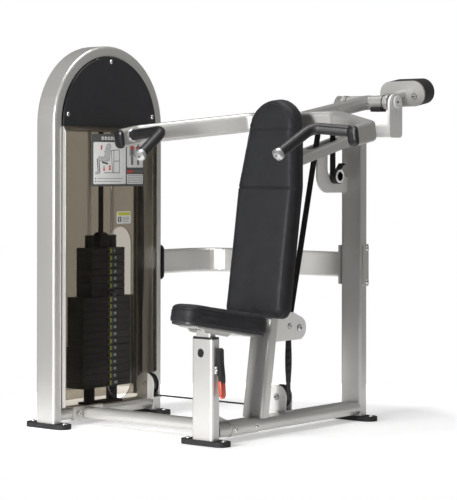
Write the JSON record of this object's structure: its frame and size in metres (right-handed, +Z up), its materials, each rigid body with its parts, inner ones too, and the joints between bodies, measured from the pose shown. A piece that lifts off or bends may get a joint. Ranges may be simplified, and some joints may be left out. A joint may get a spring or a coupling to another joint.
{
  "type": "shoulder press machine",
  "caption": "Selectorized shoulder press with a shrouded weight tower, a leaning back pad, a height-adjustable seat and a counterweighted press arm driven by a belt.",
  "frame": {"origin": "bottom centre of the whole machine: on the floor, midway between its extremes left to right and front to back", "axes": "+Z up; the seated user faces -Y, so the counterweight is at +Y; +X towards the user's left, with the weight tower at -X"},
  "size_m": [1.5195, 1.5756, 1.5645],
  "materials": {
    "silver_paint": "silver metallic powder coat, satin",
    "black_plastic": "moulded black plastic, satin",
    "tinted_panel": "brown-grey tinted clear sheet, glossy",
    "dark_panel": "near-black moulded cover, satin",
    "black_steel": "black powder coat on steel, satin",
    "chrome": "polished",
    "upholstery": "charcoal vinyl with a fine grain",
    "rubber": "black rubber, matte",
    "belt": "black coated drive belt, matte"
  },
  "bodies": {
    "frame": {"tower_frame": "silver_paint", "tower_base_tube": "silver_paint", "tower_front_foot": "rubber", "tower_rear_foot": "rubber", "outer_shroud": "tinted_panel", "inner_shroud": "tinted_panel", "outer_dome_cover": "dark_panel", "inner_dome_cover": "dark_panel", "tower_crossmember": "silver_paint", "front_guide_rod": "chrome", "rear_guide_rod": "chrome", "stack_bumpers": "rubber", "weight_plates_lower": "black_steel", "weight_plates_middle": "black_steel", "tower_pulley_bracket": "silver_paint", "seat_pulley_bracket": "silver_paint", "crossbar": "silver_paint", "base_tube": "silver_paint", "seat_post_outer": "silver_paint", "seat_post_foot": "rubber", "back_tube": "silver_paint", "back_pad": "upholstery", "idler_bracket": "silver_paint", "rear_upright": "silver_paint", "upright_foot": "rubber", "top_strut": "silver_paint", "crosshead": "silver_paint", "pivot_shaft": "chrome", "side_brace": "silver_paint", "belt_anchor": "silver_paint", "stack_belt": "belt", "tower_belt": "belt", "base_belt": "belt", "arm_belt_front": "belt", "arm_belt_rear": "belt"},
    "stack": {"head_plate": "black_steel", "weight_plate_01": "black_steel", "weight_plate_02": "black_steel", "weight_plate_03": "black_steel", "weight_plate_04": "black_steel", "weight_plate_05": "black_steel", "weight_plate_06": "black_steel", "selector_stem": "chrome"},
    "selector": {"selector_pin": "black_plastic"},
    "arm": {"press_arm": "silver_paint", "counterweight": "black_steel", "left_end_cap": "black_plastic", "right_end_cap": "black_plastic", "left_grip": "rubber", "right_grip": "rubber"},
    "arm_wheel": {"arm_pulley": "black_plastic"},
    "front_top_wheel": {"front_top_pulley": "black_plastic"},
    "rear_top_wheel": {"rear_top_pulley": "black_plastic"},
    "tower_low_wheel": {"tower_low_pulley": "black_plastic"},
    "seat_low_wheel": {"seat_low_pulley": "black_plastic"},
    "idler_wheel": {"idler_pulley": "black_plastic"},
    "seat": {"seat_post_inner": "silver_paint", "seat_pad": "upholstery"},
    "lever": {"seat_lever": "black_plastic", "seat_pin": "chrome"}
  },
  "joints": [
    {"name": "stack_slide", "type": "slide", "parent": "frame", "child": "stack", "axis": [0, 0, 1], "range_m": [0, 0.36], "deforming": ["stack_belt"]},
    {"name": "selector_slide", "type": "slide", "parent": "stack", "child": "selector", "axis": [1, 0, 0], "range_m": [0, 0.024]},
    {"name": "arm_pivot", "type": "hinge", "parent": "frame", "child": "arm", "pos_m": [0.1535, 0.435, 1.335], "axis": [-1, 0, 0], "range_deg": [0, 35], "deforming": ["arm_belt_front", "arm_belt_rear"]},
    {"name": "arm_wheel_spin", "type": "hinge", "parent": "arm", "child": "arm_wheel", "pos_m": [0.1535, 0.14547, 1.24648], "axis": [-1, 0, 0], "range_deg": [0, 200]},
    {"name": "front_top_spin", "type": "hinge", "parent": "frame", "child": "front_top_wheel", "pos_m": [-0.6475, -0.3147, 1.3], "axis": [-1, 0, 0], "range_deg": [0, 465]},
    {"name": "rear_top_spin", "type": "hinge", "parent": "frame", "child": "rear_top_wheel", "pos_m": [-0.6475, -0.1543, 1.3], "axis": [-1, 0, 0], "range_deg": [0, 465]},
    {"name": "tower_low_spin", "type": "hinge", "parent": "frame", "child": "tower_low_wheel", "pos_m": [-0.6027, -0.1095, 0.134], "axis": [0, -1, 0], "range_deg": [0, 465]},
    {"name": "seat_low_spin", "type": "hinge", "parent": "frame", "child": "seat_low_wheel", "pos_m": [0.1087, -0.1095, 0.134], "axis": [0, -1, 0], "range_deg": [0, 465]},
    {"name": "idler_spin", "type": "hinge", "parent": "frame", "child": "idler_wheel", "pos_m": [0.1535, -0.0695, 0.412], "axis": [-1, 0, 0], "range_deg": [0, 520]},
    {"name": "seat_slide", "type": "slide", "parent": "frame", "child": "seat", "axis": [0, 0, 1], "range_m": [0, 0.16]},
    {"name": "seat_lever_hinge", "type": "hinge", "parent": "frame", "child": "lever", "pos_m": [0.2135, -0.62, 0.288], "axis": [0, 1, 0], "range_deg": [0, 8], "stiffness_Nm_per_rad": 1, "springref_deg": -8.59}
  ],
  "couplings": [
    {"joint": "arm_pivot", "follows": "stack_slide", "rad_per_m": 1.683},
    {"joint": "arm_wheel_spin", "follows": "stack_slide", "rad_per_m": 9.48},
    {"joint": "front_top_spin", "follows": "stack_slide", "rad_per_m": 22.32},
    {"joint": "rear_top_spin", "follows": "stack_slide", "rad_per_m": 22.32},
    {"joint": "tower_low_spin", "follows": "stack_slide", "rad_per_m": 22.32},
    {"joint": "seat_low_spin", "follows": "stack_slide", "rad_per_m": 22.32},
    {"joint": "idler_spin", "follows": "stack_slide", "rad_per_m": 25.13}
  ]
}
